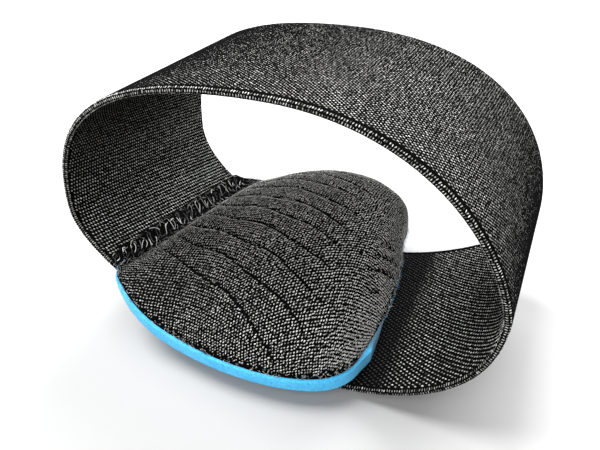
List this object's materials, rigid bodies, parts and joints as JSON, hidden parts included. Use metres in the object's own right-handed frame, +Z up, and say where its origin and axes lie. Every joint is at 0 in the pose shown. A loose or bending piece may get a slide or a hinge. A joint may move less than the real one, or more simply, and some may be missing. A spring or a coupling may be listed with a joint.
{
  "type": "arch support strap",
  "caption": "Closed loop of woven elastic with a domed, knit-covered foam pad sewn inside it, worn round the midfoot to lift the arch.",
  "frame": {"origin": "on the floor under the middle of the object's box", "axes": "+X across the loop from the seam side to the free end of the pad, +Y along the foot, +Z up from the floor run"},
  "size_m": [0.0934, 0.0682, 0.0594],
  "materials": {
    "elastic": "woven elastic webbing with corded selvedges",
    "foam": "matte, fine felt-like cut edge",
    "knit": "knitted cover with sewn creases"
  },
  "bodies": {
    "root": {"elastic_band": "elastic", "pad_foam": "foam", "pad_cover": "knit"}
  },
  "joints": []
}
